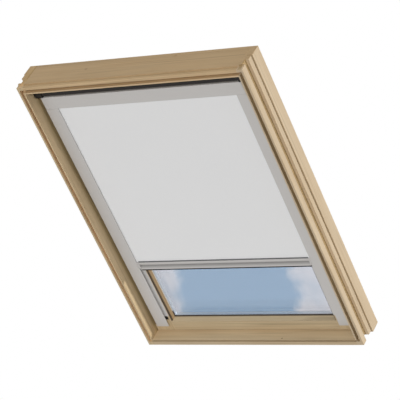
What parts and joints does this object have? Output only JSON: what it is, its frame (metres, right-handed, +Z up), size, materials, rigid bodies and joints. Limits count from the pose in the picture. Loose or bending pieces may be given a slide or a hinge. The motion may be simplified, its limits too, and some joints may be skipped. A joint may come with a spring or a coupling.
{
  "type": "skylight window with blackout blind",
  "caption": "Centre-pivot timber roof window with double glazing and a blackout roller blind that runs in side rails on the sash, shown partly lowered.",
  "frame": {"origin": "centre of the outer face of the sill's back section, the face that the window rests on in the roof opening", "axes": "+X across the window, +Y out towards the weather, +Z up the slope; the room side faces -Y"},
  "size_m": [0.74, 0.101, 0.98],
  "materials": {
    "pine": "clear lacquered laminated pine, fine straight grain",
    "dowel_wood": "plain beech",
    "steel": "zinc plated steel",
    "blind_aluminium": "matt anodised aluminium, light grey",
    "bar_aluminium": "matt anodised extruded aluminium",
    "cover_aluminium": "grey lacquered aluminium",
    "black_plastic": "fine matt black",
    "grey_plastic": "light grey moulded",
    "rubber": "black seal",
    "glass": "clear float with a faint blue tint",
    "blackout_fabric": "smooth coated blackout cloth, off-white"
  },
  "bodies": {
    "frame": {"frame_left": "pine", "frame_right": "pine", "frame_top": "pine", "frame_bottom": "pine", "corner_dowel_1": "dowel_wood", "corner_dowel_2": "dowel_wood", "corner_dowel_3": "dowel_wood", "corner_dowel_4": "dowel_wood", "pivot_plate_left": "steel", "pivot_plate_right": "steel", "striker_plate": "steel"},
    "sash": {"sash_left": "pine", "sash_right": "pine", "sash_top": "pine", "sash_bottom": "pine", "hinge_leaf_left": "steel", "pivot_pin_left": "steel", "vent_block_left": "black_plastic", "cassette_end_left": "grey_plastic", "cassette_screw_left": "steel", "side_rail_left": "blind_aluminium", "rail_end_plug_left": "black_plastic", "rail_seal_left": "rubber", "rail_screw_left_low": "steel", "rail_screw_left_high": "steel", "glazing_bead_left": "cover_aluminium", "hinge_leaf_right": "steel", "pivot_pin_right": "steel", "vent_block_right": "black_plastic", "cassette_end_right": "grey_plastic", "cassette_screw_right": "steel", "side_rail_right": "blind_aluminium", "rail_end_plug_right": "black_plastic", "rail_seal_right": "rubber", "rail_screw_right_low": "steel", "rail_screw_right_high": "steel", "glazing_bead_right": "cover_aluminium", "top_catch": "steel", "inner_gasket": "rubber", "outer_gasket": "rubber", "inner_pane": "glass", "outer_pane": "glass", "spacer_frame": "blind_aluminium", "glazing_bead_top": "cover_aluminium", "glazing_bead_bottom": "cover_aluminium", "cassette_shell": "blind_aluminium", "spring_core": "steel", "blind_fabric": "blackout_fabric"},
    "operating_bar": {"vent_bar": "black_plastic"},
    "roller": {"roller_tube": "blind_aluminium", "fabric_roll": "blackout_fabric", "idle_plug": "grey_plastic", "drive_plug": "grey_plastic", "return_spring": "steel"},
    "blind_bar": {"bottom_bar": "bar_aluminium", "fabric_clamp": "cover_aluminium", "bar_seal": "rubber", "bar_end_left": "grey_plastic", "bar_end_right": "grey_plastic"}
  },
  "joints": [
    {"name": "sash_pivot", "type": "hinge", "parent": "frame", "child": "sash", "pos_m": [0, -0.013, 0.49], "axis": [1, 0, 0], "range_deg": [0, 160]},
    {"name": "operating_bar_turn", "type": "hinge", "parent": "sash", "child": "operating_bar", "pos_m": [0, -0.045, 0.946], "axis": [-1, 0, 0], "range_deg": [0, 40]},
    {"name": "blind_slide", "type": "slide", "parent": "sash", "child": "blind_bar", "axis": [0, 0, 1], "range_m": [-0.211, 0.565], "deforming": ["blind_fabric"]},
    {"name": "roller_turn", "type": "hinge", "parent": "sash", "child": "roller", "pos_m": [0, -0.0323, 0.89575], "axis": [1, 0, 0], "range_deg": [-3238, 1209.5]}
  ],
  "couplings": [
    {"joint": "roller_turn", "follows": "blind_slide", "rad_per_m": -100}
  ]
}
